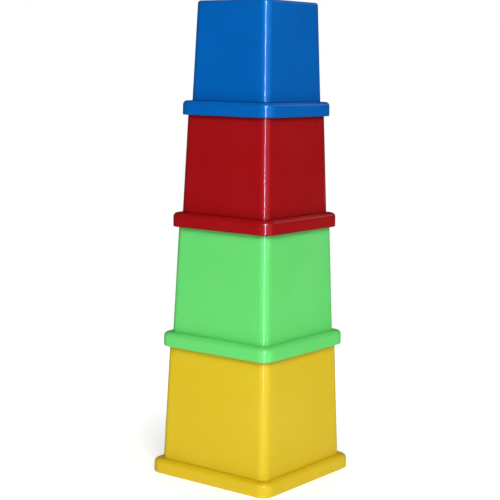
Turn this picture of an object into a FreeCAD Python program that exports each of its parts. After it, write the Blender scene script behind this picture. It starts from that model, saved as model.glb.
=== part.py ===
import FreeCAD, Part
import math
import os
import Sketcher

# A tower of square stacking cups, standing mouth down, the largest at the bottom.
# Every cup is one injection moulding: a tapered square shell, closed at its narrow end, that
# steps outward near its mouth into a rim wide enough to slip over the closed end of the next
# larger cup. The ledge inside that step then rests flat on the closed end.
# Millimetres. Z is up, and the origin is on the ground under the middle of the tower.

CUPS = ("yellow_cup", "green_cup", "red_cup", "blue_cup")  # from the ground up

doc = FreeCAD.newDocument("StackingCupTower")


# ---- driving dimensions -------------------------------------------------------------------

sheet = doc.addObject("Spreadsheet::Sheet", "dims")
DRIVING_DIMENSIONS = (
    ("largest_rim_width", 80.0),     # across the flats of the largest cup's rim
    ("rim_width_step", 6.6),         # each cup's rim is this much narrower than the last
    ("largest_cup_height", 76.2),
    ("cup_height_step", 5.3),
    ("rim_height", 7.6),             # mouth to the top of the ledge
    ("rim_overhang", 4.2),           # how far the rim stands out from the wall
    ("rim_corner_radius", 6.6),
    ("rim_round_over", 2.3),         # the rim's upper outer edge
    ("ledge_thickness", 2.2),
    ("wall_thickness", 2.0),
    ("wall_lean", 0.033),            # draft: sideways lean for each millimetre of height
    ("wall_corner_radius", 4.6),
    ("base_thickness", 2.0),         # the closed end, uppermost in the tower
    ("base_edge_round", 1.5),
    ("floor_fillet", 1.0),           # inside, where the walls meet the closed end
    ("wall_foot_fillet", 0.4),       # outside, where the wall meets the ledge
)
for row, (alias, value) in enumerate(DRIVING_DIMENSIONS, start=1):
    sheet.set(f"A{row}", alias)
    sheet.set(f"B{row}", str(value))
    sheet.setAlias(f"B{row}", alias)
doc.recompute()


# ---- one cup's sizes, as expressions of the driving dimensions ----------------------------

RECESS_DEPTH = "(dims.rim_height - dims.ledge_thickness)"


def rim_width(order):
    return f"(dims.largest_rim_width - {order} * dims.rim_width_step)"


def cup_height(order):
    return f"(dims.largest_cup_height - {order} * dims.cup_height_step)"


def wall_width(order, level):
    """Width over the walls at a height above the cup's own mouth."""
    at_ledge = f"({rim_width(order)} - 2 * dims.rim_overhang)"
    return f"({at_ledge} - 2 * dims.wall_lean * ({level} - dims.rim_height))"


def cavity_width(order, level):
    return f"({wall_width(order, level)} - 2 * dims.wall_thickness)"


def seat_height(order):
    """Height of a cup's mouth in the tower: each cup below adds all but the recess's depth."""
    cups_below = [f"{cup_height(lower)} - {RECESS_DEPTH}" for lower in range(order)]
    return " + ".join(cups_below) or "0"


# ---- building blocks ----------------------------------------------------------------------

def quarter_turned(side, x, y):
    """The point x, y turned about the cup's axis by a number of quarter turns."""
    angle = side * math.pi / 2
    cosine, sine = math.cos(angle), math.sin(angle)
    return FreeCAD.Vector(x * cosine - y * sine, x * sine + y * cosine, 0)


def rounded_square(body, name, level, width, radius):
    """A fully constrained square sketch with rounded corners, centred on the cup's axis."""
    sketch = body.newObject("Sketcher::SketchObject", f"{body.Label}_{name}")
    ground = next(plane for plane in body.Origin.OriginFeatures if plane.Role == "XY_Plane")
    sketch.AttachmentSupport = (ground, [""])
    sketch.MapMode = "FlatFace"
    sketch.setExpression("AttachmentOffset.Base.z", level)

    # Four sides, each followed by the arc that turns into the next one
    half = float(body.evalExpression(width)) / 2
    corner = float(body.evalExpression(radius))
    flat = half - corner
    for side in range(4):
        start = quarter_turned(side, half, -flat)
        end = quarter_turned(side, half, flat)
        centre = quarter_turned(side, flat, flat)
        circle = Part.Circle(centre, FreeCAD.Vector(0, 0, 1), corner)
        arc = Part.ArcOfCircle(circle, side * math.pi / 2, (side + 1) * math.pi / 2)
        sketch.addGeometry(Part.LineSegment(start, end), False)
        sketch.addGeometry(arc, False)

    for side in range(4):
        line, arc, next_line = 2 * side, 2 * side + 1, (2 * side + 2) % 8
        direction = "Vertical" if side % 2 == 0 else "Horizontal"
        sketch.addConstraint(Sketcher.Constraint("Tangent", line, 2, arc, 1))
        sketch.addConstraint(Sketcher.Constraint("Tangent", arc, 2, next_line, 1))
        sketch.addConstraint(Sketcher.Constraint(direction, line))
    for arc in (3, 5, 7):
        sketch.addConstraint(Sketcher.Constraint("Equal", 1, arc))
    sketch.addConstraint(Sketcher.Constraint("Symmetric", 0, 1, 4, 1, -1, 1))

    sizes = {
        "across": (Sketcher.Constraint("DistanceX", 4, 1, 0, 1, 2 * half), width),
        "along": (Sketcher.Constraint("DistanceY", 6, 1, 2, 1, 2 * half), width),
        "corner": (Sketcher.Constraint("Radius", 1, corner), radius),
    }
    for size, (constraint, expression) in sizes.items():
        sketch.renameConstraint(sketch.addConstraint(constraint), size)
        sketch.setExpression(f"Constraints.{size}", expression)
    return sketch


def extrude(body, kind, name, sketch, length):
    """A Pad, or a Pocket cut upward, from a sketch on the mouth's plane."""
    feature = body.newObject(kind, f"{body.Label}_{name}")
    feature.Profile = sketch
    feature.Reversed = kind == "PartDesign::Pocket"
    feature.setExpression("Length", length)
    return feature


def loft(body, kind, name, lower, upper):
    feature = body.newObject(kind, f"{body.Label}_{name}")
    feature.Profile = lower
    feature.Sections = [upper]
    feature.Ruled = True
    return feature


def edges_round(shape, level, half_width):
    """Names of the level edges that run round a cup at one height and one half width."""
    names = []
    for number, edge in enumerate(shape.Edges, start=1):
        box = edge.BoundBox
        reach = max(abs(box.XMin), abs(box.XMax), abs(box.YMin), abs(box.YMax))
        is_level = abs(box.ZMin - level) < 0.01 and abs(box.ZMax - level) < 0.01
        if is_level and abs(reach - half_width) < 0.05:
            names.append(f"Edge{number}")
    return names


def fillet(body, name, base, level, width, radius):
    """Rounds the closed run of edges found at a level and a width of the feature before."""
    doc.recompute()
    level_value = float(body.evalExpression(level))
    half_width = float(body.evalExpression(width)) / 2
    edges = edges_round(base.Shape, level_value, half_width)
    assert len(edges) == 8, f"{name} found {len(edges)} edges"
    feature = body.newObject("PartDesign::Fillet", f"{body.Label}_{name}")
    feature.Base = (base, edges)
    feature.setExpression("Radius", radius)
    body.Tip = feature
    return feature


# ---- the cups -----------------------------------------------------------------------------

def cup(order, label):
    body = doc.addObject("PartDesign::Body", label)
    body.Label = label
    height = cup_height(order)
    floor = f"({height} - dims.base_thickness)"

    # Rim: a solid slab for now, as high as the ledge
    rim_outline = rounded_square(
        body, "rim_outline", "0", rim_width(order), "dims.rim_corner_radius")
    extrude(body, "PartDesign::Pad", "rim", rim_outline, "dims.rim_height")

    # Walls: lean inward all the way up to the closed end
    wall_foot = rounded_square(
        body, "wall_foot", "dims.rim_height", wall_width(order, "dims.rim_height"),
        "dims.wall_corner_radius")
    wall_top = rounded_square(
        body, "wall_top", height, wall_width(order, height), "dims.wall_corner_radius")
    loft(body, "PartDesign::AdditiveLoft", "walls", wall_foot, wall_top)

    # Recess inside the rim, which slips over the cup below
    recess_outline = rounded_square(
        body, "recess_outline", "0", f"{rim_width(order)} - 2 * dims.wall_thickness",
        "dims.rim_corner_radius - dims.wall_thickness")
    extrude(body, "PartDesign::Pocket", "recess", recess_outline, RECESS_DEPTH)

    # Cavity: the same lean as the walls, from the recess to the underside of the closed end
    cavity_corner = "dims.wall_corner_radius - dims.wall_thickness"
    cavity_mouth = rounded_square(
        body, "cavity_mouth", RECESS_DEPTH, cavity_width(order, RECESS_DEPTH), cavity_corner)
    cavity_floor = rounded_square(
        body, "cavity_floor", floor, cavity_width(order, floor), cavity_corner)
    cavity = loft(
        body, "PartDesign::SubtractiveLoft", "cavity", cavity_mouth, cavity_floor)

    # Rounded edges
    rim_edge = fillet(
        body, "rim_edge", cavity, "dims.rim_height", rim_width(order), "dims.rim_round_over")
    base_edge = fillet(
        body, "base_edge", rim_edge, height, wall_width(order, height), "dims.base_edge_round")
    floor_edge = fillet(
        body, "floor_edge", base_edge, floor, cavity_width(order, floor), "dims.floor_fillet")
    fillet(
        body, "wall_foot_edge", floor_edge, "dims.rim_height",
        wall_width(order, "dims.rim_height"), "dims.wall_foot_fillet")

    body.setExpression("Placement.Base.z", seat_height(order))
    return body


bodies = [cup(order, label) for order, label in enumerate(CUPS)]
doc.recompute()


# ---- check and write ----------------------------------------------------------------------

for item in doc.Objects:
    assert "Invalid" not in item.State and "Error" not in item.State, item.Name
for body in bodies:
    assert not body.Shape.isNull() and body.Shape.isValid(), body.Label
    assert len(body.Shape.Solids) == 1, body.Label

os.makedirs("parts", exist_ok=True)
for body in bodies:
    body.Shape.exportStep(os.path.join("parts", f"{body.Label}.step"))
    box = body.Shape.optimalBoundingBox()
    print(
        f"{body.Label}: {box.XLength:.2f} wide, z {box.ZMin:.2f} to {box.ZMax:.2f}, "
        f"{body.Shape.Volume / 1000:.2f} cubic centimetres")
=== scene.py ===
import bpy
import math
from mathutils import Euler, Matrix, Vector


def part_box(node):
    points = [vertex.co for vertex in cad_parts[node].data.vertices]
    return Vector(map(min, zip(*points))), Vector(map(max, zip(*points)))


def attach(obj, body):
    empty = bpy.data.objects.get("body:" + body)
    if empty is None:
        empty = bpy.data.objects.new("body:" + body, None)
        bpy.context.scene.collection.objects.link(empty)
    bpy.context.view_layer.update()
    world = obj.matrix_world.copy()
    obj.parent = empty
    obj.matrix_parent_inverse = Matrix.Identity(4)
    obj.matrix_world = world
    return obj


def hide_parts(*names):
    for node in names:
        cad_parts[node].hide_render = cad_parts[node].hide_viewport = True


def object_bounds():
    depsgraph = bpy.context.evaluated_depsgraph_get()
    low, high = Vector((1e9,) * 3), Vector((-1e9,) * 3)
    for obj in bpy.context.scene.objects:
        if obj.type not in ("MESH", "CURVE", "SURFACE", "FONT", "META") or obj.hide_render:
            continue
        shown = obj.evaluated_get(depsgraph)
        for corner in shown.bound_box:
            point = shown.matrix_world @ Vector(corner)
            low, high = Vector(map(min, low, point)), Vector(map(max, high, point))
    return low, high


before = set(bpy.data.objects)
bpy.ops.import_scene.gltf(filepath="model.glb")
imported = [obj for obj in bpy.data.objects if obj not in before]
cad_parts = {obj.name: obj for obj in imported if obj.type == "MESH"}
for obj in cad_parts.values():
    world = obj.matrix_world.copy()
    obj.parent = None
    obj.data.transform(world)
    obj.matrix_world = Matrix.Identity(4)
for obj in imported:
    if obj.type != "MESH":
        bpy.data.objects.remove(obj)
cad_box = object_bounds()
MM = 0.001


# ==== Yellow cup ===========================================================================
# The largest cup, which carries the tower. One injection moulding in glossy polypropylene:
# a square shell with leaning walls, closed at its narrow upper end and open below, where it
# steps out over a ledge into the rim it stands on. All four cups share this form.

class Quantity:
    """A node's output that takes part in sums, so that a tree's arithmetic reads as a formula."""

    def __init__(self, tree, socket):
        self.tree = tree
        self.socket = socket

    def through(self, operation, *others):
        inputs = dict(enumerate((self, *others)))
        node = add_node(self.tree, "ShaderNodeMath", inputs, operation=operation)
        return Quantity(self.tree, node.outputs[0])

    def __add__(self, other):
        return self.through("ADD", other)

    def __sub__(self, other):
        return self.through("SUBTRACT", other)

    def __mul__(self, other):
        return self.through("MULTIPLY", other)

    def __truediv__(self, other):
        return self.through("DIVIDE", other)

    def __rsub__(self, other):
        return (self * -1) + other

    __radd__ = __add__


def add_node(tree, kind, inputs=None, **options):
    """Adds a node, sets its options, and fills or links its inputs by name or by place."""
    node = tree.nodes.new(kind)
    for option, value in options.items():
        setattr(node, option, value)
    for key, value in (inputs or {}).items():
        value = value.socket if isinstance(value, Quantity) else value
        if isinstance(value, bpy.types.NodeSocket):
            tree.links.new(value, node.inputs[key])
        else:
            node.inputs[key].default_value = value
    return node


def chosen_by_index(tree, index, choices, data_type):
    """The choice whose place in the list is the index."""
    node = add_node(tree, "GeometryNodeIndexSwitch", {"Index": index}, data_type=data_type)
    while len(node.index_switch_items) < len(choices):
        node.index_switch_items.new()
    for place, choice in enumerate(choices):
        socket = node.inputs[place + 1]
        if isinstance(choice, Quantity):
            tree.links.new(choice.socket, socket)
        elif isinstance(choice, bpy.types.NodeSocket):
            tree.links.new(choice, socket)
        else:
            socket.default_value = choice
    return node.outputs[0]


CUP_SIZES = {
    # Every cup's own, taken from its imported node
    "Rim Half Width": 40 * MM,
    "Seat": 0.0,
    "Height": 76 * MM,
    # The same on all four
    "Rim Height": 7.6 * MM,
    "Rim Overhang": 4.2 * MM,
    "Ledge": 2.2 * MM,
    "Wall": 2.0 * MM,
    "Wall Lean": 0.033,
    "Rim Corner": 6.6 * MM,
    "Wall Corner": 4.6 * MM,
    "Rim Round": 2.3 * MM,
    "Base Round": 1.5 * MM,
    "Wall Bow": 0.15 * MM,
    "Foot Fillet": 0.4 * MM,
    "Floor Fillet": 1.0 * MM,
    "Gate Radius": 3.0 * MM,
    "Gate Depth": 0.4 * MM,
    "Nub Radius": 0.7 * MM,
    "Nub Depth": 0.1 * MM,
}


def moulded_cup_tree():
    """Geometry Nodes that turn one cross-section of a cup round a square with round corners.

    A point of the cross-section is held as (half width, distance of the corner's centre from
    the axis, height). The difference of the first two is the radius of the square's corners.
    """
    tree = bpy.data.node_groups.new("moulded_cup", "GeometryNodeTree")
    interface = tree.interface
    for name, size in CUP_SIZES.items():
        item = interface.new_socket(name, in_out="INPUT", socket_type="NodeSocketFloat")
        item.default_value = size
    interface.new_socket("Plastic", in_out="INPUT", socket_type="NodeSocketMaterial")
    interface.new_socket("Geometry", in_out="OUTPUT", socket_type="NodeSocketGeometry")
    given = tree.nodes.new("NodeGroupInput").outputs
    size = {name: Quantity(tree, given[name]) for name in CUP_SIZES}
    index = Quantity(tree, tree.nodes.new("GeometryNodeInputIndex").outputs[0])

    def vector(across, centre, up):
        inputs = {"X": across, "Y": centre, "Z": up}
        return add_node(tree, "ShaderNodeCombineXYZ", inputs).outputs[0]

    # The corners of the cross-section, from the middle of the closed end out, down and back up
    rim, lip = size["Rim Half Width"], size["Rim Height"]
    top, wall = size["Height"], size["Wall"]
    recess = lip - size["Ledge"]
    floor = top - wall
    gate, gate_floor = size["Gate Radius"], top - size["Gate Depth"]
    nub, nub_top = size["Nub Radius"], top - size["Nub Depth"]
    rim_centre = rim - size["Rim Corner"]

    def outer(level):
        return rim - size["Rim Overhang"] - size["Wall Lean"] * (level - lip)

    def outer_centre(level):
        return outer(level) - size["Wall Corner"]

    # Small roundings; the last column is above 0 where hands rub an edge and below 0 where
    # painted shade darkens the creases and the rim's lower edge
    sharp, soft, lip_round = 0.06 * MM, 0.25 * MM, 0.5 * MM
    # The two negative values paint shade: fully in the creases, half along the rim's lower edge
    worn, lightly_worn, half_shade, full_shade = 1.0, 0.3, -0.5, -1.0
    # Height on the rim's outer face up to which painted shade darkens its lower edge
    shade_top = 1.3 * MM
    corners = (
        # half width, corner's centre, height, rounding, wear (above 0) or painted shade (below 0)
        (0.0, 0.0, nub_top, 0.0, 0.0),
        (nub, 0.0, nub_top, sharp, 0.0),
        (nub, 0.0, gate_floor, sharp, 0.0),
        (gate, 0.0, gate_floor, sharp, 0.0),
        (gate, 0.0, top, sharp, 0.0),
        (outer(top), outer_centre(top), top, size["Base Round"], worn),
        (outer(lip), outer_centre(lip), lip, size["Foot Fillet"], full_shade),
        (rim, rim_centre, lip, size["Rim Round"], lightly_worn),
        (rim, rim_centre, shade_top, 0.0, 0.0),
        (rim, rim_centre, 0.0, lip_round, half_shade),
        (rim - wall, rim_centre, 0.0, soft, 0.0),
        (rim - wall, rim_centre, recess, soft, full_shade),
        (outer(recess) - wall, outer_centre(recess), recess, soft, 0.0),
        (outer(floor) - wall, outer_centre(floor), floor, size["Floor Fillet"], full_shade),
        (0.0, 0.0, floor, 0.0, 0.0),
    )
    corner_line = add_node(
        tree, "GeometryNodeMeshLine", {"Count": len(corners)}, mode="OFFSET")
    places = [vector(across, centre, up) for across, centre, up, rounding, wear_and_shade in corners]
    placed = add_node(tree, "GeometryNodeSetPosition", {
        "Geometry": corner_line.outputs[0],
        "Position": chosen_by_index(tree, index, places, "VECTOR")})

    # Three points for each corner but the two end ones: just before it, on it, just after it.
    # The outer two stand clear of the arc, whose ends are one rounding away at a right angle.
    clear_of_arc = 1.3
    corner = ((index + 2) / 3).through("FLOOR")
    step = index - corner * 3 + 1
    position = tree.nodes.new("GeometryNodeInputPosition").outputs[0]

    def corner_place(which):
        node = add_node(
            tree, "GeometryNodeSampleIndex",
            {"Geometry": placed.outputs[0], "Value": position, "Index": which},
            data_type="FLOAT_VECTOR", clamp=True)
        return node.outputs[0]

    def vector_math(operation, first, second=None, scale=None):
        inputs = {0: first}
        if second is not None:
            inputs[1] = second
        if scale is not None:
            inputs["Scale"] = scale
        node = add_node(tree, "ShaderNodeVectorMath", inputs, operation=operation)
        return node.outputs["Value" if operation == "LENGTH" else "Vector"]

    here, next_place = corner_place(corner), corner_place(corner + step)
    run = vector_math("MULTIPLY", vector_math("SUBTRACT", next_place, here), (1, 0, 1))
    rounding = Quantity(tree, chosen_by_index(tree, corner, [row[3] for row in corners], "FLOAT"))
    wear_and_shade = Quantity(tree, chosen_by_index(tree, corner, [row[4] for row in corners], "FLOAT"))
    beside = step.through("ABSOLUTE")
    reach = rounding * beside * clear_of_arc
    moved = vector_math("SCALE", vector_math("NORMALIZE", run), scale=reach)
    point_line = add_node(
        tree, "GeometryNodeMeshLine", {"Count": 3 * len(corners) - 4}, mode="OFFSET")
    outline = add_node(tree, "GeometryNodeSetPosition", {
        "Geometry": point_line.outputs[0], "Position": vector_math("ADD", here, moved)})
    outline = add_node(tree, "GeometryNodeMeshToCurve", {"Mesh": outline.outputs[0]})

    # Rounds the corners, and divides the long straight runs between them
    longest_stretch, arc_points = 3 * MM, 8
    run_length = Quantity(tree, vector_math("LENGTH", run))
    leaves_corner = step.through("GREATER_THAN", 0.5)
    cuts = (run_length / longest_stretch).through("FLOOR") * leaves_corner
    on_corner = 1 - beside
    section = outline.outputs[0]
    for attribute, value in (
            ("rounding", rounding * on_corner), ("wear_and_shade", wear_and_shade * on_corner), ("cuts", cuts)):
        section = add_node(tree, "GeometryNodeStoreNamedAttribute", {
            "Geometry": section, "Name": attribute, "Value": value},
            data_type="FLOAT", domain="POINT").outputs[0]

    def stored(attribute):
        node = add_node(
            tree, "GeometryNodeInputNamedAttribute", {"Name": attribute}, data_type="FLOAT")
        return node.outputs[0]

    section = add_node(tree, "GeometryNodeSubdivideCurve", {
        "Curve": section, "Cuts": stored("cuts")}).outputs[0]
    section = add_node(tree, "GeometryNodeFilletCurve", {
        "Curve": section, "Radius": stored("rounding"), "Limit Radius": False},
        mode="POLY")
    section.inputs["Count"].default_value = arc_points
    section = section.outputs[0]

    # A sheet of points, round the square one way and along the cross-section the other
    flats, bends = 16, 10
    quarter = flats + bends
    section_size = add_node(
        tree, "GeometryNodeAttributeDomainSize", {"Geometry": section}, component="CURVE")
    section_count = Quantity(tree, section_size.outputs["Point Count"])
    sheet = add_node(tree, "GeometryNodeMeshGrid", {
        "Vertices X": 4 * quarter + 1, "Vertices Y": section_count})
    around = (index / section_count).through("FLOOR")
    along = index - around * section_count

    def on_section(value, data_type):
        node = add_node(
            tree, "GeometryNodeSampleIndex",
            {"Geometry": section, "Value": value, "Index": along},
            data_type=data_type, clamp=True)
        return node.outputs[0]

    section_point = add_node(
        tree, "ShaderNodeSeparateXYZ", {0: on_section(position, "FLOAT_VECTOR")})
    half, centre, height = (Quantity(tree, output) for output in section_point.outputs)

    # Each quarter is a flat side, with points closer together at its ends, and then an arc
    side = (around / quarter).through("FLOOR")
    station = around - side * quarter
    sweep = (station / flats).through("MINIMUM", 1.0) * math.pi - math.pi / 2
    across_flat = (sweep.through("SINE") * (math.pi / 2)).through("SINE")
    bend = (station - flats).through("MAXIMUM", 0.0) * (math.pi / 2 / bends)
    rise = ((height - lip) / (top - lip)).through("MAXIMUM", 0.0)
    hollow = size["Wall Bow"] * 4 * rise * (1 - rise) * (1 - across_flat * across_flat)
    radius = half - centre
    outward = centre + radius * bend.through("COSINE") - hollow
    sideways = centre * across_flat + radius * bend.through("SINE")
    turn = side * (math.pi / 2)
    cosine, sine = turn.through("COSINE"), turn.through("SINE")
    shaped = add_node(tree, "GeometryNodeSetPosition", {
        "Geometry": sheet.outputs[0],
        "Position": vector(
            outward * cosine - sideways * sine,
            outward * sine + sideways * cosine,
            height + size["Seat"])})
    marked = add_node(tree, "GeometryNodeStoreNamedAttribute", {
        "Geometry": shaped.outputs[0], "Name": "wear_and_shade",
        "Value": on_section(stored("wear_and_shade"), "FLOAT")}, data_type="FLOAT", domain="POINT")
    weld = 0.001 * MM
    closed = add_node(tree, "GeometryNodeMergeByDistance", {
        "Geometry": marked.outputs[0], "Distance": weld})
    facing_out = add_node(tree, "GeometryNodeFlipFaces", {"Mesh": closed.outputs[0]})
    smooth = add_node(tree, "GeometryNodeSetShadeSmooth", {"Geometry": facing_out.outputs[0]})
    real = add_node(tree, "GeometryNodeRealizeInstances", {"Geometry": smooth.outputs[0]})
    finished = add_node(tree, "GeometryNodeSetMaterial", {
        "Geometry": real.outputs[0], "Material": given["Plastic"]})
    add_node(tree, "NodeGroupOutput", {"Geometry": finished.outputs[0]})
    return tree


def moulded_plastic(name, colour, pale, dark_tone_and_shade, sheen, roughness, skin, glow):
    """Glossy moulded plastic with faint mottling, smudges, fine scratches and specks of dust.

    Worn edges turn paler. Shade is painted into the creases and along the rims' lower edges,
    which turn darker, and they are also duller there. The sheen tints the soft gloss of the
    plastic itself, and the skin is the clear, crisp gloss of its mould finish.
    Scales of noise are in waves per metre, and seeds keep the patterns apart.
    """
    material = bpy.data.materials.new(name)
    material.use_nodes = True
    tree = material.node_tree
    tree.nodes.clear()
    place = tree.nodes.new("ShaderNodeTexCoord").outputs["Object"]

    def noise(scale, detail=2.0, stretch=None, seed=0.0):
        spot = place
        if stretch:
            mapping = add_node(tree, "ShaderNodeMapping", {
                "Vector": place, "Scale": stretch, "Rotation": (0.3, 0.5, seed)})
            spot = mapping.outputs[0]
        node = add_node(tree, "ShaderNodeTexNoise", {
            "Vector": spot, "W": seed, "Scale": scale, "Detail": detail},
            noise_dimensions="4D")
        return Quantity(tree, node.outputs["Fac"])

    def between(value, low, high):
        node = add_node(tree, "ShaderNodeMapRange", {
            "Value": value, "From Min": low, "From Max": high}, interpolation_type="SMOOTHSTEP")
        return Quantity(tree, node.outputs[0])

    def mix(factor, first, second):
        node = add_node(tree, "ShaderNodeMix", {
            "Factor": factor, "A": first, "B": second}, data_type="RGBA")
        return node.outputs["Result"]

    wear_and_shade = Quantity(tree, add_node(
        tree, "ShaderNodeAttribute", attribute_name="wear_and_shade").outputs["Fac"])
    rubbed = wear_and_shade.through("MAXIMUM", 0.0) * between(noise(160, 3), 0.40, 0.80)
    # Painted shade mask: where the wear attribute is below 0, in the creases and along the rims'
    # lower edges
    painted_shade = (wear_and_shade * -1).through("MAXIMUM", 0.0)
    mottling = between(noise(38, 3, seed=1.0), 0.25, 0.75)
    smudges = between(noise(22, 4, seed=7.0), 0.45, 0.75)
    dust = between(noise(1700, 0, seed=2.0), 0.83, 0.88)
    scratches = between(noise(500, 0, stretch=(1, 1, 0.02), seed=3.0), 0.80, 0.86)
    polish = 1 - painted_shade
    lint, no_sheen = (0.75, 0.75, 0.73, 1), (0, 0, 0, 1)

    # The dark colour serves both the mottling's random tone and the painted shade in the creases
    body = mix(mottling * 0.08, (*colour, 1), (*dark_tone_and_shade, 1))
    body = mix(rubbed * 0.12 + smudges * 0.2, body, (*pale, 1))
    # Painted shade: the creases and the rims' lower edges are darkened towards the dark colour
    body = mix(painted_shade * 0.95, body, (*dark_tone_and_shade, 1))
    body = mix(dust * 0.25 + scratches * 0.08, body, lint)
    rough = roughness + mottling * 0.03 + (rubbed + scratches) * 0.06 + dust * 0.3 + painted_shade * 0.4
    grain, ripple = noise(2600, 2, seed=5.0), noise(40, 1, seed=6.0)
    bump = add_node(tree, "ShaderNodeBump", {
        "Height": grain * 0.006 + ripple * 0.25 + dust * 0.03,
        "Strength": 0.3, "Distance": 0.25 * MM})
    shader = add_node(tree, "ShaderNodeBsdfPrincipled", {
        "Base Color": body, "Roughness": rough, "Normal": bump.outputs[0],
        "IOR": 1.52, "Specular Tint": mix(painted_shade, (*sheen, 1), no_sheen),
        "Coat Weight": polish * skin, "Coat Roughness": 0.16,
        "Subsurface Weight": glow, "Subsurface Radius": (1.0, 0.7, 0.4),
        "Subsurface Scale": 3.0 * MM})
    add_node(tree, "ShaderNodeOutputMaterial", {"Surface": shader.outputs[0]})
    return material


cup_tree = moulded_cup_tree()


def mould_cup(node, body, plastic):
    """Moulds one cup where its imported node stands, and puts it in that node's stead."""
    low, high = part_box(node)
    own_sizes = {"Rim Half Width": high.x, "Seat": low.z, "Height": high.z - low.z}
    blank = bpy.data.objects.new(f"{node}_blank", bpy.data.meshes.new(f"{node}_blank"))
    bpy.context.scene.collection.objects.link(blank)
    moulding = blank.modifiers.new("moulding", "NODES")
    moulding.node_group = cup_tree
    identifiers = {
        item.name: item.identifier for item in cup_tree.interface.items_tree
        if item.in_out == "INPUT"}
    for name, size in {**CUP_SIZES, **own_sizes, "Plastic": plastic}.items():
        moulding[identifiers[name]] = size
    evaluated = blank.evaluated_get(bpy.context.evaluated_depsgraph_get())
    mesh = bpy.data.meshes.new_from_object(evaluated)
    moulded = bpy.data.objects.new(f"{node}_moulded", mesh)
    bpy.context.scene.collection.objects.link(moulded)
    bpy.data.objects.remove(blank)
    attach(moulded, body)
    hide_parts(node)
    return moulded


yellow_plastic = moulded_plastic(
    "yellow_moulded_plastic", colour=(0.78, 0.555, 0.010), pale=(0.88, 0.68, 0.06),
    dark_tone_and_shade=(0.66, 0.42, 0.005), sheen=(0.35, 0.35, 0.35), roughness=0.50, skin=0.28, glow=0.1)
mould_cup("yellow_cup", "yellow", yellow_plastic)


# ==== Green cup ============================================================================
# The second cup, moulded like the first, in a light green plastic that lets a little light
# through. The ledge in its recess rests on the yellow cup's closed end.

green_plastic = moulded_plastic(
    "green_moulded_plastic", colour=(0.15, 0.78, 0.18), pale=(0.30, 0.86, 0.32),
    dark_tone_and_shade=(0.12, 0.64, 0.14), sheen=(0.35, 0.35, 0.35), roughness=0.50, skin=0.45, glow=0.1)
mould_cup("green_cup", "green", green_plastic)


# ==== Red cup ==============================================================================
# The third cup, moulded like the others, in a dense, glossy red plastic that shows its corner
# highlights sharply. It rests on the green cup in the same way.

red_plastic = moulded_plastic(
    "red_moulded_plastic", colour=(0.40, 0.004, 0.006), pale=(0.50, 0.02, 0.025),
    dark_tone_and_shade=(0.24, 0.002, 0.003), sheen=(0.35, 0.1, 0.15), roughness=0.4, skin=0.75, glow=0.03)
mould_cup("red_cup", "red", red_plastic)


# ==== Blue cup =============================================================================
# The smallest cup, at the top, moulded like the others in a dense, glossy blue plastic. It
# rests on the red cup.

blue_plastic = moulded_plastic(
    "blue_moulded_plastic", colour=(0.0, 0.14, 0.56), pale=(0.0, 0.21, 0.66),
    dark_tone_and_shade=(0.0, 0.055, 0.25), sheen=(0.05, 0.3, 0.4), roughness=0.4, skin=0.8, glow=0.03)
mould_cup("blue_cup", "blue", blue_plastic)


# ==== Table and light ======================================================================
# A pale paper table top that glows with painted light, which also lights the cups from below; its
# glow is weaker near the tower, a painted shade, and brightens away from it. A tall, cool strip
# light in front draws the thin line down the near corners. A wide, weak window to its right
# softens the line, a lamp above it lights the faces, and two more fill in from behind.

TABLE_RADIUS = 0.4
TABLE_GAP = 0.05 * MM  # keeps the table top just clear of the yellow rim's flat foot
# Between these distances the table's painted shade near the tower turns into its full painted
# glow
SHADE_FROM, SHADE_TO = 0.04, 0.2  # distances from the tower's axis

bpy.ops.mesh.primitive_circle_add(vertices=96, radius=TABLE_RADIUS, fill_type="NGON")
table = bpy.context.object
table.name = "table"
table.location.z = -TABLE_GAP
paper = bpy.data.materials.new("pale_paper_painted_glow")
paper.use_nodes = True
paper_tree = paper.node_tree
paper_place = add_node(paper_tree, "ShaderNodeTexCoord").outputs["Object"]
from_tower = add_node(
    paper_tree, "ShaderNodeVectorMath", {0: paper_place}, operation="LENGTH").outputs["Value"]
glow_brighter_away = add_node(paper_tree, "ShaderNodeMapRange", {
    "Value": from_tower, "From Min": SHADE_FROM, "From Max": SHADE_TO,
    "To Min": 0.5, "To Max": 1.0})
paper_shader = paper_tree.nodes["Principled BSDF"]
paper_shader.inputs["Base Color"].default_value = (0.85, 0.85, 0.85, 1)
paper_shader.inputs["Roughness"].default_value = 0.9
paper_shader.inputs["Emission Color"].default_value = (1, 1, 1, 1)
# Painted light: the table glows, half as strongly near the tower as painted shade, fully further
# out
paper_tree.links.new(glow_brighter_away.outputs[0], paper_shader.inputs["Emission Strength"])
table.data.materials.append(paper)
table.visible_glossy = False

FRONT = -143.0  # degrees from +X about the tower: where the viewer stands


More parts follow.
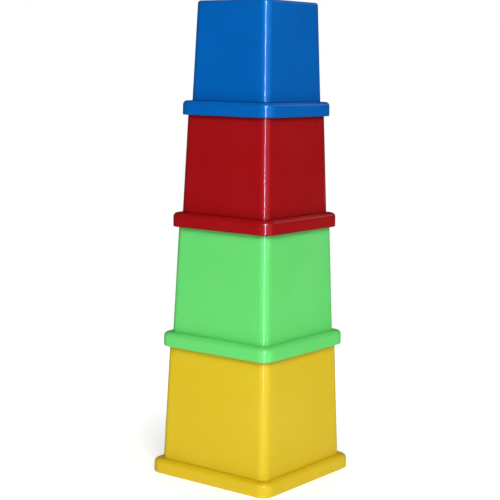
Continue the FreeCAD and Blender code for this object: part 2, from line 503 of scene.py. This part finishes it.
def soft_light(name, turn, distance, rise, width, height, watts,
               colour=(1, 1, 1), lights_faces=True, mirrored=True):
    """A soft light that faces the tower.

    The turn is in degrees about the tower, from straight in front to the right.
    """
    light = bpy.data.lights.new(name, "AREA")
    light.shape = "RECTANGLE"
    light.size = width
    light.size_y = height
    light.energy = watts
    light.color = colour
    holder = bpy.data.objects.new(name, light)
    bpy.context.scene.collection.objects.link(holder)
    angle = math.radians(FRONT + turn)
    place = Vector((math.cos(angle) * distance, math.sin(angle) * distance, rise))
    aim = Vector((0, 0, cad_box[1][2] / 2))
    holder.location = place
    holder.rotation_euler = (aim - place).to_track_quat("-Z", "Y").to_euler()
    holder.visible_camera = False
    holder.visible_diffuse = lights_faces
    holder.visible_glossy = mirrored


soft_light("strip_front", turn=4, distance=0.6, rise=0.12, width=0.014, height=0.7, watts=5.0,
           colour=(0.6, 0.72, 1.0), lights_faces=False)
soft_light("window_right", turn=38, distance=1.1, rise=0.30, width=1.0, height=0.9, watts=1.2,
           lights_faces=False)
soft_light("key_front", turn=7, distance=0.9, rise=0.66, width=0.5, height=0.45, watts=9.3)
soft_light("back_right", turn=120, distance=1.0, rise=0.68, width=0.3, height=0.3, watts=0.2)
soft_light("fill_behind", turn=182, distance=1.1, rise=0.22, width=1.0, height=0.6, watts=2.5,
           mirrored=False)

ROOM_LIGHT = 0.03  # what the room adds all round; the background itself is seen as white
world = bpy.data.worlds.new("studio")
world.use_nodes = True
bpy.context.scene.world = world
world_tree = world.node_tree
world_tree.nodes.clear()
seen = Quantity(world_tree, add_node(world_tree, "ShaderNodeLightPath").outputs["Is Camera Ray"])
background = add_node(world_tree, "ShaderNodeBackground", {
    "Color": (1, 1, 1, 1), "Strength": ROOM_LIGHT + seen * (1 - ROOM_LIGHT)})
add_node(world_tree, "ShaderNodeOutputWorld", {"Surface": background.outputs[0]})


# ==== Camera ===============================================================================
# A long lens that looks slightly down at the near corner from about 0.7 m away. The tower
# fills the height of the picture.

camera_data = bpy.data.cameras.new("camera")
camera_data.sensor_width = 36
camera_data.lens = 96.76
camera = bpy.data.objects.new("camera", camera_data)
bpy.context.scene.collection.objects.link(camera)
heading, tilt, roll = math.radians(52.742), math.radians(7.716), math.radians(0.872)
look = Euler((math.pi / 2 - tilt, 0, -heading)).to_matrix() @ Matrix.Rotation(roll, 3, "Z")
camera.location = (-0.58116, -0.43903, 0.22176)
camera.rotation_euler = look.to_euler()
bpy.context.scene.camera = camera
bpy.context.scene.view_settings.view_transform = "Standard"
